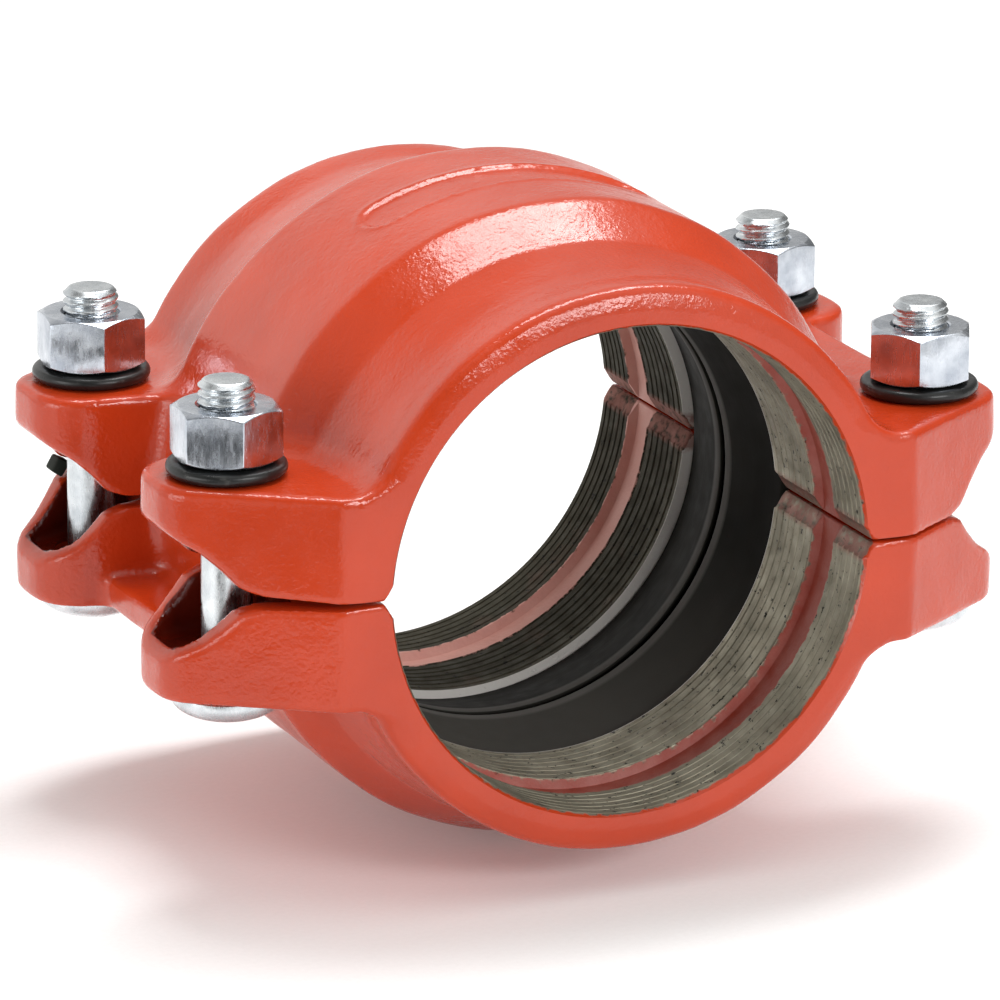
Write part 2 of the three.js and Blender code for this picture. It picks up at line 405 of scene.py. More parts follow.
# Cross-section of the bevel where the bore meets the joint.
BEVEL = [(40, -9), (40, 4.4), (56.9, 4.4), (58.9, 0.9), (58.9, -9)]

# The frame on top of the band: half its straight length, the radius of its ends, and its relief.
PANEL_HALF_LENGTH = 30
PANEL_RADIUS = 6.2
PANEL_DEPTH = 0.8
PANEL_RIM = 0.35

# Outside this radius the surface is as cast, and the lugs widen upwards by this much.
SKIN_RADIUS = 60
LUG_DRAFT = 0.02

# Spacing and reach of the samples, first of the casting and then of the shell's outline.
CAST_STEP = 0.85
FIELD_X, FIELD_Y, FIELD_BOTTOM, FIELD_TOP = 106, 74.5, -3, 79.5
OUTLINE_STEP = 0.4
OUTLINE_RADIUS, OUTLINE_LENGTH = 132, 76


def panel_field(x, y, z):
    """Height of the plain frame on top of the band: a shallow oblong recess with a raised rim."""
    around = np.arctan2(x, z) * BAND_RADIUS
    past_middle = np.maximum(np.abs(around) - PANEL_HALF_LENGTH, 0)
    outside = np.hypot(past_middle, y) - PANEL_RADIUS
    recess = np.clip(0.5 - outside / 0.8, 0, 1)
    rim = np.exp(-((outside - 1.0) / 0.8) ** 2)
    return PANEL_RIM * rim - PANEL_DEPTH * recess


def unevenness(x, y, z):
    """Slight waves running every way, as a sand mould leaves them."""
    draws = np.random.default_rng(11)
    total = 0.0
    for _ in range(12):
        direction = draws.normal(size=3)
        direction /= np.linalg.norm(direction)
        spacing = draws.uniform(8, 26)
        phase = draws.uniform(0, 2 * math.pi)
        along = direction[0] * x + direction[1] * y + direction[2] * z
        total = total + 0.0014 * spacing * np.sin(2 * math.pi * along / spacing + phase)
    return total


def shell_field(x, y, z):
    """The round shell, with the frame on top of its band."""
    radii = np.arange(0, OUTLINE_RADIUS, OUTLINE_STEP)[:, None]
    lengths = np.arange(0, OUTLINE_LENGTH, OUTLINE_STEP)[None, :]
    profile = blurred(outline_distance(SHELL_OUTLINE, radii, lengths), 2)
    shell = looked_up(profile, OUTLINE_STEP, np.hypot(x, z + BORE_OFFSET), y)
    return shell - panel_field(x, y, z) * (np.hypot(x, z) > SKIN_RADIUS)


def lug_field(x, y, z):
    """The lugs, and the web that joins the two on the +X side."""
    lug = outline_distance(LUG_PLAN, np.abs(x), y) + LUG_DRAFT * (z - 12)
    web = crossed(np.maximum(np.maximum(x - WEB_X, 50 - x), y - WEB_END_Y), WEB_Z - z, 1.2)
    return crossed(joined(lug, web, 3.0), z - PAD_Z, 1.5)


def opened(body, x, y, z):
    """The body without its gasket pocket, rough bore, lug hollows and what lies below the joint."""
    side = np.abs(x)
    pocket = crossed(np.hypot(x, z) - POCKET_RADIUS, y - POCKET_HALF_WIDTH, 1.0)
    rough_bore = np.hypot(x, z + BORE_OFFSET) - (BORE_RADIUS - 2.2)
    body = cut(body, pocket, 0.3)
    body = np.maximum(body, -rough_bore)
    body = cut(body, crossed(outline_distance(HOLLOW_PLAN, side, y), z - FLOOR_Z, 2.0), 1.1)
    body = cut(body, outline_distance(UNDERSIDE, side, z), 1.0)
    body = cut(body, outline_distance(BEVEL, side, z), 0.3)
    return crossed(body, JOINT_GAP - z, 0.5)


def casting():
    """One housing half, as the upper one, with the web between the lugs on its +X side."""
    columns = math.ceil(FIELD_X / CAST_STEP)
    xs = np.arange(-columns, columns + 1) * CAST_STEP
    ys = np.arange(0, FIELD_Y, CAST_STEP)
    zs = np.arange(FIELD_BOTTOM, FIELD_TOP, CAST_STEP)
    place = xs[:, None, None], ys[None, :, None], zs[None, None, :]
    x, y, z = place
    body = crossed(joined(shell_field(*place), lug_field(*place), 5.0), y - END, 0.5)
    body = body + unevenness(*place) * (np.hypot(x, z) > SKIN_RADIUS)
    body = opened(body, *place)
    field = np.concatenate([body[:, :0:-1], body], 1)
    piece = skinned("casting", field, (xs[0], -ys[-1], zs[0]), CAST_STEP)
    evened = piece.modifiers.new("evened", "SMOOTH")
    evened.factor = 0.5
    evened.iterations = 3
    return bake_modifiers(piece)


def toothed(start, end, teeth, depth=0.45):
    """Outline points of one gripping band: sharp circumferential teeth, crests at the bore."""
    pitch = (end - start) / teeth
    points = []
    for n in range(teeth):
        crest = start + n * pitch
        points += [
            (BORE_RADIUS, crest + 0.02 * pitch),
            (BORE_RADIUS + 0.06, crest + 0.76 * pitch),
            (BORE_RADIUS + depth, crest + 0.88 * pitch),
        ]
    return points


def bore_tool():
    """Everything machined out of the bore: teeth, the groove between them, chamfered mouths."""
    half = [
        (BORE_RADIUS, 4),
        *toothed(*INNER_TEETH, 7),
        (BORE_RADIUS, INNER_TEETH[1] + 0.3),
        (GROOVE_FLOOR, INNER_TEETH[1] + 1.3),
        (GROOVE_FLOOR, OUTER_TEETH[0] - 1.1),
        (BORE_RADIUS, OUTER_TEETH[0]),
        *toothed(*OUTER_TEETH, 5),
        (BORE_RADIUS, OUTER_TEETH[1]),
        (57.3, 69.4),
        (MOUTH_RADIUS, END + 0.3),
        (MOUTH_RADIUS, END + 4),
    ]
    outline = [(r, -y) for r, y in reversed(half)] + half
    outline = [(0.5, -END - 4)] + outline + [(0.5, END + 4)]
    return turned("bore_tool", outline, 256, closed=False, centre_z=-BORE_OFFSET)


def bolt_hole(x, y):
    """An upright oval bar, longer along X than along Y, for one bolt's hole through a pad."""
    turn = circle(48)
    shift = np.where(np.cos(turn) >= 0, HOLE_STRETCH / 2, -HOLE_STRETCH / 2)
    reach = [(HOLE_RADIUS, FLOOR_Z - 4), (HOLE_RADIUS, PAD_Z + 4)]
    return rings_object("bolt_hole", level_rings(reach, turn, x + shift, y))


def machined_casting():
    """The upper half with its bore and its four bolt holes cut."""
    piece = carve(casting(), bore_tool())
    for side in (-1, 1):
        for end in (-1, 1):
            carve(piece, bolt_hole(side * BOLT_X, end * BOLT_Y))
    return piece


def housing(name, machined, upper):
    """One half in its place. The left joint stands open a little wider towards its outer edge."""
    piece = bpy.data.objects.new(name, machined.data.copy())
    bpy.context.scene.collection.objects.link(piece)
    count = len(piece.data.vertices)
    at = np.empty(3 * count)
    piece.data.vertices.foreach_get("co", at)
    at = at.reshape(-1, 3) / MM
    left = -at[:, 0] if upper else at[:, 0]
    out = np.clip((left - 60) / (BOLT_X - 60), 0, 1)
    fade = np.clip((13 - at[:, 2]) / 12, 0, 1)
    at[:, 2] += RELIEF * out * fade
    if not upper:
        at[:, 0] *= -1
        at[:, 2] *= -1
    piece.data.vertices.foreach_set("co", (at * MM).ravel())
    piece.data.update()
    return smooth(piece, 28)


# ---- gasket ---------------------------------------------------------------------------------


def gasket_ring():
    """C-shaped ring with two lips."""
    back = POCKET_RADIUS - 0.4
    half_width = POCKET_HALF_WIDTH - 0.5
    half = [
        (back, 0),
        (back, half_width - 1.6),
        (back - 1.6, half_width),
        (60.0, half_width),
        (59.2, 23.6),
        (59.0, 22.0),
        (58.6, 19.0),
        (57.4, 13.5),
        (55.9, 6.0),
        (55.3, 2.4),
        (55.5, 1.2),
        (56.4, 1.2),
        (57.5, 2.6),
        (59.4, 9.5),
        (61.2, 15),
        (63.4, 15),
        (64.4, 12),
    ]
    mirrored = [(r, -y) for r, y in half[1:]]
    outline = softened(half + [(64.4, 0)] + mirrored[::-1], 2)
    ring = turned("gasket_ring", outline, 200)
    ring.data.transform(Matrix.Diagonal((1, 1, GASKET_SQUEEZE, 1)))
    return smooth(ring, 40)


# ---- fasteners ------------------------------------------------------------------------------


def oval_radius(turn, radius, stretch):
    """Distance from the centre to the edge of an oval longer along X, for each direction."""
    reach = stretch / 2
    across = np.abs(np.cos(turn)) * reach
    on_arc = across + np.sqrt(np.maximum(radius**2 - (np.sin(turn) * reach) ** 2, 0))
    straight = radius / np.maximum(np.abs(np.sin(turn)), 1e-6)
    beside = np.abs(np.cos(turn)) * straight < reach
    return np.where(beside, straight, on_arc)


def thread_radius(turn, z, root, crest):
    """Radius of a right-hand thread, for each direction at one height."""
    phase = (z / THREAD_PITCH - turn / (2 * math.pi)) % 1
    ramp = 1 - np.abs(2 * phase - 1)
    return root + (crest - root) * np.clip((ramp - 0.16) / 0.68, 0, 1)


def head_and_neck(turn):
    """Radius and height up the domed head and the oval neck."""
    edge = 1.3
    outline = []
    for k in range(13):
        angle = (0.03 + 0.97 * k / 12) * math.pi / 2
        drop = edge + (HEAD_HEIGHT - edge) * math.cos(angle)
        outline.append((HEAD_RADIUS * math.sin(angle), HEAD_TOP_Z - drop))
    neck = oval_radius(turn, HOLE_RADIUS - 0.45, HOLE_STRETCH)
    return outline + [
        (HEAD_RADIUS - 0.1, HEAD_TOP_Z - 0.35),
        (HEAD_RADIUS - 0.5, HEAD_TOP_Z),
        (neck + 0.5, HEAD_TOP_Z),
        (neck, HEAD_TOP_Z + 0.4),
        (neck, -FLOOR_Z - 1.6),
        (neck - 0.5, -FLOOR_Z - 1.1),
    ]


def shank_and_thread(turn):
    """Radius and height up the plain shank and the thread, which starts gradually."""
    outline = [(SHANK_RADIUS + 0.25, -FLOOR_Z - 1.0), (SHANK_RADIUS, -FLOOR_Z - 0.5)]
    outline += [(SHANK_RADIUS, z) for z in np.linspace(-14, FLOOR_Z + 4, 12)]
    start = FLOOR_Z + 4.3
    for z in np.arange(start, STUD_TOP_Z - 0.05, THREAD_PITCH / 10):
        run_in = min((z - start) / 3, 1)
        root = THREAD_ROOT + (SHANK_RADIUS - THREAD_ROOT) * (1 - run_in)
        crest = SHANK_RADIUS + (THREAD_RADIUS - SHANK_RADIUS) * run_in
        chamfer = THREAD_RADIUS - 1.35 + (STUD_TOP_Z - z) * 1.1
        outline.append((np.minimum(thread_radius(turn, z, root, crest), chamfer), z))
    return outline + [
        (THREAD_RADIUS - 1.5, STUD_TOP_Z - 0.03),
        (THREAD_RADIUS - 1.9, STUD_TOP_Z),
        (0.3, STUD_TOP_Z - 0.05),
    ]


def track_bolt(name, x, y):
    """Domed head, oval neck, plain shank and a real helical thread with a chamfered end."""
    turn = circle(72)
    rings = level_rings(head_and_neck(turn) + shank_and_thread(turn), turn, x, y)
    return smooth(rings_object(name, rings), 38)


def threaded_hole(turn):
    """Radius and height up the nut's hole, which is countersunk at both faces."""
    outline = []
    for z in np.arange(-1.0, NUT_HEIGHT + 1.0, THREAD_PITCH / 8):
        sink = max(0.0, 1.0 - z, z - NUT_HEIGHT + 1.0)
        wall = thread_radius(turn, z + NUT_Z, THREAD_RADIUS - 0.35, THREAD_RADIUS + 0.3)
        outline.append((np.maximum(wall, THREAD_RADIUS - 0.4 + sink), z))
    return outline


def hex_nut(name, x, y, turn_degrees):
    """Heavy hex nut: both faces chamfered to a round, countersunk and threaded hole."""
    corner = NUT_FLATS / math.sqrt(3)
    hexagon = np.radians(turn_degrees + 60 * np.arange(1, 7))
    nut = rings_object(name, level_rings([(corner, 0.0), (corner, NUT_HEIGHT)], hexagon))
    face, beyond = NUT_FLATS / 2 - 0.35, corner + 1
    drop = 0.55 * (beyond - face)
    cone = [(face, 0.0), (beyond, drop), (beyond, NUT_HEIGHT - drop), (face, NUT_HEIGHT)]
    carve(nut, rings_object("blank", level_rings(cone, circle(96))), "INTERSECT")
    round_edges(nut, 0.35, 20, 3)
    turn = circle(60)
    carve(nut, rings_object("nut_bore", level_rings(threaded_hole(turn), turn)))
    nut.data.transform(Matrix.Translation(Vector((x, y, NUT_Z)) * MM))
    return smooth(nut, 24)


def washer(name, x, y):
    """Thick washer with well rounded rims."""
    inner, outer = THREAD_RADIUS + 0.5, WASHER_RADIUS
    top = WASHER_THICKNESS
    outline = softened([
        (inner, 0.25),
        (inner, top - 0.25),
        (inner + 0.3, top),
        (outer - 1.5, top),
        (outer - 0.5, top - 0.25),
        (outer, top / 2 + 0.5),
        (outer, top / 2 - 0.5),
        (outer - 0.5, 0.25),
        (outer - 1.5, 0),
        (inner + 0.3, 0),
    ], 2)
    lifted = [(r, WASHER_Z + z) for r, z in outline]
    rings = level_rings(lifted, circle(96), x, y)
    return smooth(rings_object(name, rings, closed=True), 50)


def spacer(name):
    """The small dark block in the notch between the rear left pads, with worn edges."""
    section = [(-90.5, -0.3), (-87.9, -2.1), (-85.7, 1.3), (-88.7, 2.8)]
    rings = [[(x, y, z) for x, z in section] for y in (52.6, 54.2, 55.8, 57.0)]
    block = rings_object(name, rings)
    return smooth(round_edges(block, 0.5, 30, 3), 40)


# ---- materials ------------------------------------------------------------------------------


class Finish:
    """A node material under construction, with short ways to add nodes."""

    def __init__(self, name):
        self.material = bpy.data.materials.new(name)
        self.material.use_nodes = True
        self.tree = self.material.node_tree
        self.shader = self.tree.nodes["Principled BSDF"]
        self.place = self.node("TexCoord").outputs["Object"]

    def node(self, kind, inputs=None, **settings):
        made = self.tree.nodes.new("ShaderNode" + kind)
        for key, value in settings.items():
            setattr(made, key, value)
        for key, value in (inputs or {}).items():
            self.feed(made.inputs[key], value)
        return made

    def feed(self, socket, value):
        if isinstance(value, bpy.types.NodeSocket):
            self.tree.links.new(value, socket)
        else:
            socket.default_value = value

    def set(self, **values):
        for key, value in values.items():
            self.feed(self.shader.inputs[key.replace("_", " ")], value)

    def noise(self, scale, detail=2.0, roughness=0.5, stretch=None):
        place = self.place
        if stretch:
            place = self.node("Mapping", {"Vector": place, "Scale": stretch}).outputs[0]
        inputs = {"Vector": place, "Scale": scale, "Detail": detail, "Roughness": roughness}
        return self.node("TexNoise", inputs).outputs[0]

    def spots(self, scale, randomness=1.0):
        inputs = {"Vector": self.place, "Scale": scale, "Randomness": randomness}
        return self.node("TexVoronoi", inputs).outputs[0]

    def span(self, value, low, high, to_low=0.0, to_high=1.0):
        inputs = {"Value": value, "From Min": low, "From Max": high, "To Min": to_low, "To Max": to_high}
        return self.node("MapRange", inputs).outputs[0]

    def maths(self, operation, a, b=0.0, c=0.0):
        return self.node("Math", {0: a, 1: b, 2: c}, operation=operation).outputs[0]

    def edge(self, value, outside, inside, low=0.0, high=1.0):
        """The same as span between two lengths given in millimetres."""
        return self.span(value, outside * MM, inside * MM, low, high)

    def product(self, *factors):
        total = factors[0]
        for factor in factors[1:]:
            total = self.maths("MULTIPLY", total, factor)
        return total

    def weighted(self, *parts):
        """The sum of pairs of a value and its weight."""
        total = 0.0
        for value, weight in parts:
            total = self.maths("MULTIPLY_ADD", value, weight, total)
        return total

    def reach(self, across, up):
        """Distance from a line along Y, for offsets across and up from it."""
        squares = self.maths("ADD", self.maths("POWER", across, 2.0), self.maths("POWER", up, 2.0))
        return self.maths("SQRT", squares)

    def colours(self, share, low, high):
        """The low colour where share is 0 and the high one where it is 1."""
        made = self.node("Mix", {0: share, 6: low, 7: high}, data_type="RGBA")
        return made.outputs[2]

    def mixed(self, share, low, high):
        """The same as colours for plain values."""
        return self.node("Mix", {0: share, 2: low, 3: high}, data_type="FLOAT").outputs[0]

    def bump(self, height, distance, strength=1.0):
        inputs = {"Height": height, "Distance": distance, "Strength": strength}
        return self.node("Bump", inputs).outputs[0]


def rgb(red, green, blue):
    return (red, green, blue, 1.0)


# Share of painted shade over the bare iron at the far end.
MOST_FAR_SHADE = 0.93


class CastingFinish(Finish):
    """A finish for the castings, with masks for the places where the enamel changes or stops, and for
    painted shade.
    """

    def __init__(self, name):
        super().__init__(name)
        self.x, self.y, self.z = self.node("SeparateXYZ", {0: self.place}).outputs
        self.from_joint = self.maths("ABSOLUTE", self.z)
        self.length = self.maths("ABSOLUTE", self.y)
        self.radius = self.reach(self.x, self.maths("ADD", self.from_joint, BORE_OFFSET * MM))
        floor = self.edge(self.radius, GROOVE_FLOOR + 0.8, GROOVE_FLOOR + 0.2)
        self.groove = self.product(floor, self.edge(self.length, END - 0.6, END - 1.6))
        self.wall = self.edge(self.length, POCKET_HALF_WIDTH + 0.25, POCKET_HALF_WIDTH + 0.1)
        # Painted shade: the bare iron gets darker towards the far end, where the bore lies in shade.
        self.far_shade = self.edge(self.y, -5, 30, 0.0, MOST_FAR_SHADE)
        self.pits = self.span(self.noise(620, 3, 0.7), 0.33, 0.39)
        self.bare = self.maths("MAXIMUM", self.bands(), self.pocket())

    def bands(self):
        """The gripping bands, with a ragged edge where the enamel stops."""
        ragged = self.span(self.noise(420, 4, 0.65), 0.3, 0.7, -0.0005, 0.0005)
        radius = self.maths("ADD", self.radius, ragged)
        length = self.maths("ADD", self.length, ragged)
        inner = self.edge(length, INNER_TEETH[1] + 0.5, INNER_TEETH[1] + 0.1)
        outer_start = self.edge(length, OUTER_TEETH[0] + 0.1, OUTER_TEETH[0] + 0.4)
        outer = self.product(outer_start, self.edge(length, END - 0.6, END - 0.9))
        either = self.maths("MAXIMUM", inner, outer)
        past_pocket = self.edge(self.length, INNER_TEETH[0] - 0.5, INNER_TEETH[0])
        return self.product(either, self.edge(radius, 60.0, 59.6), past_pocket)

    def pocket(self):
        """The gasket's pocket and its end walls."""
        across = self.edge(self.length, POCKET_HALF_WIDTH + 0.5, POCKET_HALF_WIDTH + 0.3)
        return self.product(across, self.edge(self.radius, POCKET_RADIUS + 2.4, POCKET_RADIUS + 2.0))

    def hollows(self):
        """The walls inside the four lug hollows, where the enamel is darkened as painted shade."""
        side = self.maths("ABSOLUTE", self.x)
        inside = self.edge(self.from_joint, FLOOR_Z + 0.7, FLOOR_Z + 0.3)
        for degrees in (62, 0, -45, -90, 180):
            ux, uy = math.cos(math.radians(degrees)), math.sin(math.radians(degrees))
            furthest = max(ux * x + uy * y for x, y in HOLLOW_PLAN)
            outward = self.maths("MULTIPLY_ADD", side, ux, self.maths("MULTIPLY", self.length, uy))
            inside = self.product(inside, self.edge(outward, furthest + 0.7, furthest + 0.3))
        return inside


def enamel_colour(f):
    """Orange-red, slightly cloudy and specked; painted shade in the hollows and the near groove, dust
    and painted sheen in the groove.
    """
    clouds = f.span(f.noise(38, 3, 0.5), 0.3, 0.7)
    paint = f.colours(clouds, rgb(0.432, 0.0358, 0.0070), rgb(0.502, 0.0436, 0.0090))
    paint = f.colours(f.span(f.spots(520), 0.0, 0.06), rgb(0.28, 0.016, 0.005), paint)
    # painted shade: the enamel is darkened inside the lug hollows
    paint = f.colours(f.hollows(), paint, rgb(0.140, 0.0105, 0.0035))
    # painted shade: the enamel in the groove is darkened towards the near end
    near = f.product(f.groove, f.edge(f.y, 0, -30, 0.0, 0.7))
    paint = f.colours(near, paint, rgb(0.24, 0.030, 0.018))
    # dust in random patches, plus painted sheen: paler pink towards the far end of the groove
    patches = f.span(f.noise(120, 4, 0.6), 0.3, 0.7, 0.0, 0.16)
    dust_and_sheen = f.maths("ADD", patches, f.edge(f.y, -20, 20, 0.0, 0.60))
    return f.colours(f.product(f.groove, dust_and_sheen), paint, rgb(0.82, 0.50, 0.43))


def iron_colour(f):
    """Olive grey iron: painted shade towards the far end and between the teeth, rusty in patches,
    pitted.
    """
    patches = f.span(f.noise(90, 5, 0.6), 0.35, 0.65)
    iron = f.colours(patches, rgb(0.230, 0.212, 0.155), rgb(0.400, 0.372, 0.285))
    # painted shade towards the far end
    iron = f.colours(f.far_shade, iron, rgb(0.028, 0.024, 0.013))
    rust = f.span(f.noise(55, 4, 0.6), 0.58, 0.72, 0.0, 0.55)
    iron = f.colours(rust, iron, rgb(0.120, 0.075, 0.055))
    # painted shade: the iron is darkened between the teeth, less so towards the far end
    past_crests = f.edge(f.radius, BORE_RADIUS + 0.1, BORE_RADIUS + 0.4)
    shade_between_teeth = f.product(past_crests, f.edge(f.radius, BORE_RADIUS + 1.1, BORE_RADIUS + 0.7))
    shade_between_teeth = f.product(shade_between_teeth, f.span(f.far_shade, 0.0, MOST_FAR_SHADE, 0.6, 0.2))
    iron = f.colours(shade_between_teeth, iron, rgb(0.030, 0.026, 0.018))
    iron = f.colours(f.pits, rgb(0.018, 0.016, 0.013), iron)

    # the pocket's end wall is machined clean and painted pale, a painted reflection of the bright room,
    # and a little enamel ran onto the joint's edges
    iron = f.colours(f.wall, iron, rgb(0.800, 0.770, 0.730))
    runs = f.product(f.edge(f.from_joint, 5.2, 3.6), f.span(f.noise(480, 3, 0.6), 0.32, 0.52, 0.0, 0.80))
    return f.colours(runs, iron, rgb(0.360, 0.160, 0.130))


def casting_roughness(f):
    """Glossy enamel that is dull in the groove, and iron that is duller towards the far end."""
    paint = f.span(f.noise(160, 3), 0.3, 0.7, 0.13, 0.23)
    paint = f.weighted((paint, 1.0), (f.groove, 0.35))
    iron = f.span(f.noise(300, 4), 0.3, 0.7, 0.38, 0.62)
    iron = f.weighted((iron, 1.0), (f.far_shade, 0.28))
    return f.mixed(f.bare, paint, iron)


def casting_relief(f):
    """Sand-cast skin and orange peel in the enamel, and turning marks and pits in the iron."""
    sand, peel = f.noise(330, 3, 0.6), f.noise(1100, 2, 0.5)
    dimples = f.span(f.spots(430), 0.05, 0.32)
    skin = f.weighted((sand, 0.6), (peel, 0.4), (dimples, 0.1))
    turning = f.noise(30, 3, 0.6, stretch=(6.0, 90.0, 6.0))
    marks = f.weighted((turning, 0.5), (f.pits, 0.5))
    return f.mixed(f.bare, skin, marks)


def enamel_over_iron():
    """Glossy orange-red enamel over cast iron, with the iron bare on the gripping bands."""
    f = CastingFinish("enamel_over_iron")
    f.set(Base_Color=f.colours(f.bare, enamel_colour(f), iron_colour(f)))
    f.set(Roughness=casting_roughness(f), IOR=1.5)
    f.set(Metallic=f.product(f.bare, f.span(f.wall, 0.0, 1.0, 0.7, 0.1)))
    f.set(Normal=f.bump(casting_relief(f), 0.0004, 0.55))
    return f.material


def rubber(name, dark, light, roughness, painted_light=None):
    """Moulded black rubber with a soft sheen and a faint bloom. Painted light may be added to its
    colour.
    """
    f = Finish(name)
    colour = f.colours(f.span(f.noise(60, 4, 0.6), 0.35, 0.7), dark, light)
    f.set(Base_Color=painted_light(f, colour) if painted_light else colour)
    f.set(Roughness=f.span(f.noise(240, 3), 0.3, 0.7, roughness - 0.06, roughness + 0.08))
    lines = f.noise(22, 2, 0.5, stretch=(1.0, 40.0, 1.0))
    grain = f.noise(1600, 2, 0.5)
    relief = f.weighted((lines, 0.4), (grain, 0.25))
    f.set(Normal=f.bump(relief, 0.0002, 0.5), IOR=1.4, Specular_IOR_Level=0.12)
    return f.material


def gasket_painted_light(f, colour):
    """Painted sheen along the bottom of the near flank, and painted highlights on the lips' edges."""
    x, y, z = f.node("SeparateXYZ", {0: f.place}).outputs
    # painted sheen: paler along the bottom of the near flank, which faces up towards the light
    bottom_sheen = f.product(f.edge(z, -18, -52), f.edge(y, 1.5, -4), 0.6)
    colour = f.colours(bottom_sheen, colour, rgb(0.11, 0.105, 0.095))
    radius = f.reach(x, f.maths("MULTIPLY", z, 1 / GASKET_SQUEEZE))
    # painted highlight: the lips' edges are paler
    return f.colours(f.edge(radius, 55.7, 55.5, 0.0, 0.7), colour, rgb(0.16, 0.155, 0.145))


def zinc(name, low, high, roughness):
    """Bright zinc plate: faint blue cast, cloudy passivation and fine scratches."""
    f = Finish(name)
    cloud = f.span(f.noise(150, 4, 0.6), 0.35, 0.68)
    f.set(Base_Color=f.colours(cloud, low, high), Metallic=1.0)
    scuffs = f.noise(900, 3, 0.7, stretch=(1.0, 1.0, 0.25))
    f.set(Roughness=f.span(scuffs, 0.3, 0.75, roughness - 0.06, roughness + 0.14))
    f.set(Normal=f.bump(f.weighted((scuffs, 0.5), (cloud, 0.5)), 0.0001, 0.45))
    return f.material


def black_coating():
    """Semi-gloss black on steel, rubbed thin in small patches."""
    f = Finish("black_coating")
    rubbed = f.span(f.noise(420, 5, 0.7), 0.60, 0.72)
    f.set(Base_Color=f.colours(rubbed, rgb(0.012, 0.013, 0.013), rgb(0.055, 0.055, 0.052)))
    f.set(Roughness=f.span(f.noise(260, 3), 0.3, 0.7, 0.26, 0.42), Metallic=0.25)
    f.set(Normal=f.bump(f.noise(800, 3, 0.6), 0.00012, 0.5))
    return f.material


def card_felt():
    f = Finish("card_felt")
    nap = f.colours(f.noise(300, 3), rgb(0.03, 0.03, 0.03), rgb(0.06, 0.06, 0.06))
    f.set(Base_Color=nap, Roughness=0.9)
    return f.material


def glowing_floor_paper():
    f = Finish("glowing_floor_paper")
    fibre = f.span(f.noise(700, 4, 0.6), 0.3, 0.7)
    f.set(Base_Color=f.colours(fibre, rgb(0.86, 0.86, 0.86), rgb(0.90, 0.90, 0.90)), Roughness=0.8)
    # the paper glows faintly: painted light that lifts the shadow under the coupling
    f.set(Emission_Color=rgb(1.0, 1.0, 1.0), Emission_Strength=0.08)
    return f.material


# ---- studio ---------------------------------------------------------------------------------

YAW = math.radians(-24.057)
ELEVATION = math.radians(16.843)
ROLL = math.radians(0.443)
DISTANCE = 1.78613
LENS = 280.96
AIM_RIGHT = 0.000818
AIM_UP = 0.002835


def camera():
    """Long lens from the front left and above."""
    back = Vector((
        math.sin(YAW) * math.cos(ELEVATION),
        -math.cos(YAW) * math.cos(ELEVATION),
        math.sin(ELEVATION),
    ))
    level = Vector((math.cos(YAW), math.sin(YAW), 0))
    upright = back.cross(level)
    right = math.cos(ROLL) * level + math.sin(ROLL) * upright
    up = -math.sin(ROLL) * level + math.cos(ROLL) * upright
    data = bpy.data.cameras.new("camera")
    data.lens = LENS
    data.sensor_width = 36
    data.clip_start, data.clip_end = 0.05, 60
    made = bpy.data.objects.new("camera", data)
    axes = Matrix((right, up, back)).transposed().to_4x4()
    made.matrix_world = Matrix.Translation(back * DISTANCE - right * AIM_RIGHT - up * AIM_UP) @ axes
    bpy.context.scene.collection.objects.link(made)
    bpy.context.scene.camera = made


def heading(azimuth, elevation):
    """Unit vector for an azimuth from the back towards the right, and an elevation."""
    turn, lift = math.radians(azimuth), math.radians(elevation)
    return (math.sin(turn) * math.cos(lift), math.cos(turn) * math.cos(lift), math.sin(lift))


def softbox(name, azimuth, elevation, away, width, height, power, turn=0):
    """Area light facing the coupling, with its width level, or turned in degrees in plan."""
    data = bpy.data.lights.new(name, "AREA")
    data.shape = "RECTANGLE"
    data.size, data.size_y = width, height
    data.energy = power
    made = bpy.data.objects.new(name, data)
    back = Vector(heading(azimuth, elevation))
    along = Vector((math.cos(math.radians(turn)), math.sin(math.radians(turn)), 0))
    upright = back.cross(along).normalized()
    axes = Matrix((upright.cross(back), upright, back)).transposed().to_4x4()
    made.matrix_world = Matrix.Translation(back * away) @ axes
    bpy.context.scene.collection.objects.link(made)


# Brightness of the room, and where it differs: azimuth from the back towards the right and
# elevation in degrees, how far the patch reaches in degrees, and the change at its middle.
ROOM_STRENGTH = 1.0
SURROUNDINGS = [
    (70, 15, 60, -0.80),
    (-55, 20, 40, 0.35),
    (-85, 40, 45, -0.70),
    (-160, 22, 55, -0.85),
    (-15, 58, 35, -0.60),
    (52, 52, 20, 0.55),
    (-115, 3, 35, 0.45),
    (0, 90, 70, 0.25),
]


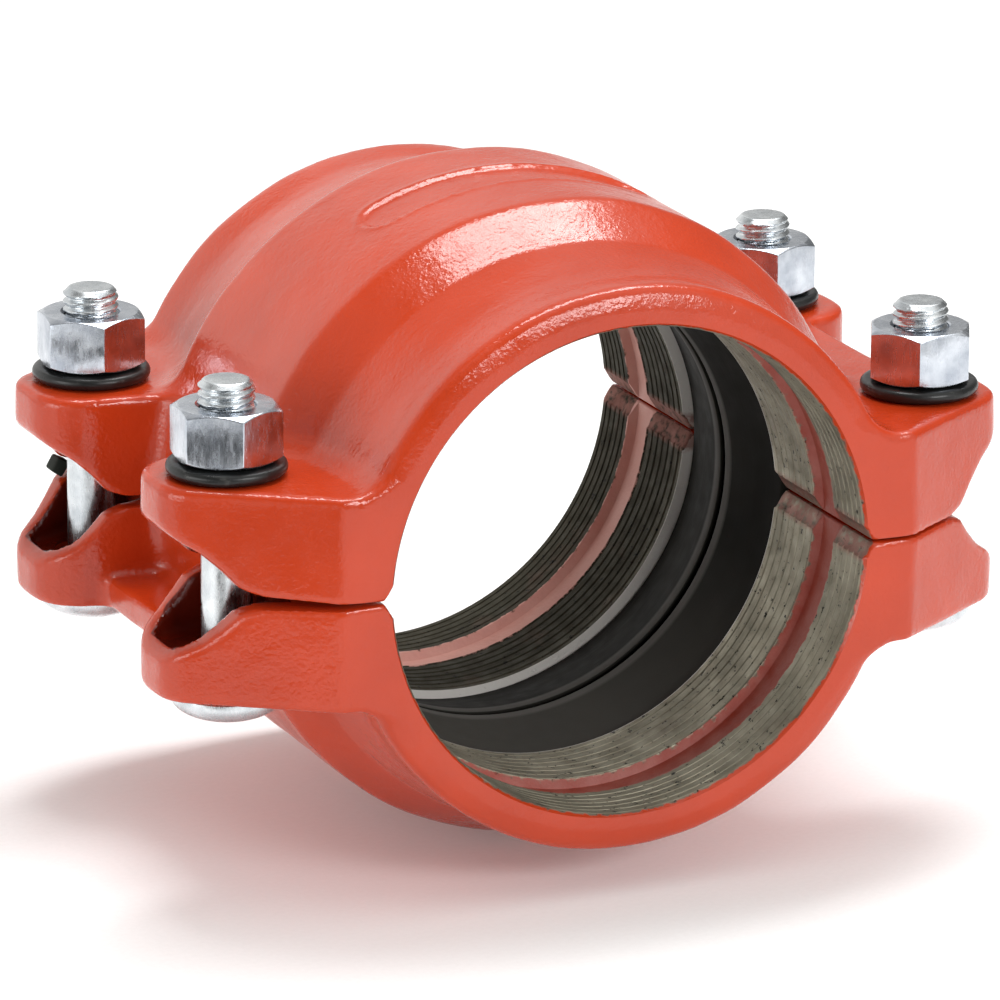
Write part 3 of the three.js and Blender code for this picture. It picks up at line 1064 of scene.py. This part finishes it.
def uneven_room():
    """A white room all round, brighter or darker towards each entry of SURROUNDINGS."""
    world = bpy.data.worlds.new("studio")
    bpy.context.scene.world = world
    world.use_nodes = True
    nodes, links = world.node_tree.nodes, world.node_tree.links
    background = nodes["Background"]
    background.inputs["Color"].default_value = (1.0, 0.99, 0.965, 1.0)
    direction = nodes.new("ShaderNodeTexCoord").outputs["Generated"]
    strength = None
    for azimuth, elevation, reach, change in SURROUNDINGS:
        facing = nodes.new("ShaderNodeVectorMath")
        facing.operation = "DOT_PRODUCT"
        facing.inputs[1].default_value = heading(azimuth, elevation)
        links.new(direction, facing.inputs[0])
        patch = nodes.new("ShaderNodeMapRange")
        patch.interpolation_type = "SMOOTHSTEP"
        patch.inputs["From Min"].default_value = math.cos(math.radians(reach))
        patch.inputs["From Max"].default_value = math.cos(math.radians(reach / 3))
        patch.inputs["To Max"].default_value = change
        links.new(facing.outputs["Value"], patch.inputs["Value"])
        total = nodes.new("ShaderNodeMath")
        total.inputs[0].default_value = ROOM_STRENGTH
        if strength:
            links.new(strength, total.inputs[0])
        links.new(patch.outputs[0], total.inputs[1])
        strength = total.outputs[0]
    links.new(strength, background.inputs["Strength"])


def studio():
    """A softbox overhead, one in front and a weak one on the left, in an uneven white room."""
    softbox("overhead", 38, 75.2, 1.09, 0.84, 0.28, 9.7, turn=16)
    softbox("front_light", 165, 23, 1.6, 0.80, 0.32, 10.5)
    softbox("left_fill", -100, 7, 1.6, 0.9, 0.5, 5, turn=-80)
    uneven_room()
    bpy.context.scene.view_settings.view_transform = "Standard"


def floor():
    """Slightly uneven sheet of faintly glowing white paper under the coupling."""
    half, steps = 9.0, 24
    lowest = CAD_BOX[0][2] - 0.0008
    line = np.linspace(-half, half, steps + 1)
    points = [
        (px / MM, py / MM, (lowest - 0.0004 * (1 + math.sin(3 * px) * math.sin(2 * py))) / MM)
        for px in line
        for py in line
    ]
    number = np.arange((steps + 1) ** 2).reshape(steps + 1, steps + 1)
    quads = np.stack([number[:-1, :-1], number[1:, :-1], number[1:, 1:], number[:-1, 1:]], 2)
    sheet = mesh_object("floor", points, quads.reshape(-1, 4))
    smooth(sheet)
    sheet.data.materials.append(glowing_floor_paper())


# ---- the coupling ---------------------------------------------------------------------------


def black_card():
    """Dark card lying in front on the left, which only shows as a reflection in shiny faces."""
    lowest = CAD_BOX[0][2] / MM + 0.5
    corners = [(-620, -640), (-175, -520), (-215, -165), (-640, -60)]
    card = mesh_object("black_card", [(x, y, lowest) for x, y in corners], [[0, 1, 2, 3]])
    card.data.materials.append(card_felt())
    card.visible_camera = card.visible_diffuse = card.visible_shadow = False


def fit(piece, material, body, node):
    """Gives a piece its material, hangs it on its body and hides the CAD part that it replaces."""
    piece.data.materials.clear()
    piece.data.materials.append(material)
    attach(piece, body)
    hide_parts(node)


camera()
studio()
floor()
black_card()

machined = machined_casting()
upper, lower = housing("upper_casting", machined, True), housing("lower_casting", machined, False)
remove(machined)
enamel_finish = enamel_over_iron()
fit(upper, enamel_finish, "upper_assembly", "upper_housing")
fit(lower, enamel_finish, "lower_assembly", "lower_housing")

dark, light = rgb(0.010, 0.0092, 0.0075), rgb(0.018, 0.0166, 0.0135)
gasket_finish = rubber("gasket_rubber", dark, light, 0.66, gasket_painted_light)
fit(gasket_ring(), gasket_finish, "lower_assembly", "gasket")
spacer_finish = rubber("spacer_rubber", rgb(0.020, 0.024, 0.020), rgb(0.050, 0.055, 0.048), 0.55)
fit(spacer("spacer_block"), spacer_finish, "lower_assembly", "pad_spacer")

bolt_finish = zinc("bolt_zinc", rgb(0.50, 0.535, 0.565), rgb(0.75, 0.78, 0.80), 0.24)
nut_finish = zinc("nut_zinc", rgb(0.40, 0.435, 0.495), rgb(0.66, 0.695, 0.75), 0.20)
washer_finish = black_coating()
for name, side, end, nut_turn in BOLTS:
    x, y = side * BOLT_X, end * BOLT_Y
    bolt = track_bolt(f"{name}_track_bolt", x, y)
    fit(bolt, bolt_finish, "lower_assembly", f"{name}_bolt")
    ring = washer(f"{name}_round_washer", x, y)
    fit(ring, washer_finish, "upper_assembly", f"{name}_washer")
    nut = hex_nut(f"{name}_hex_nut", x, y, nut_turn)
    fit(nut, nut_finish, f"{name}_nut_body", f"{name}_nut")
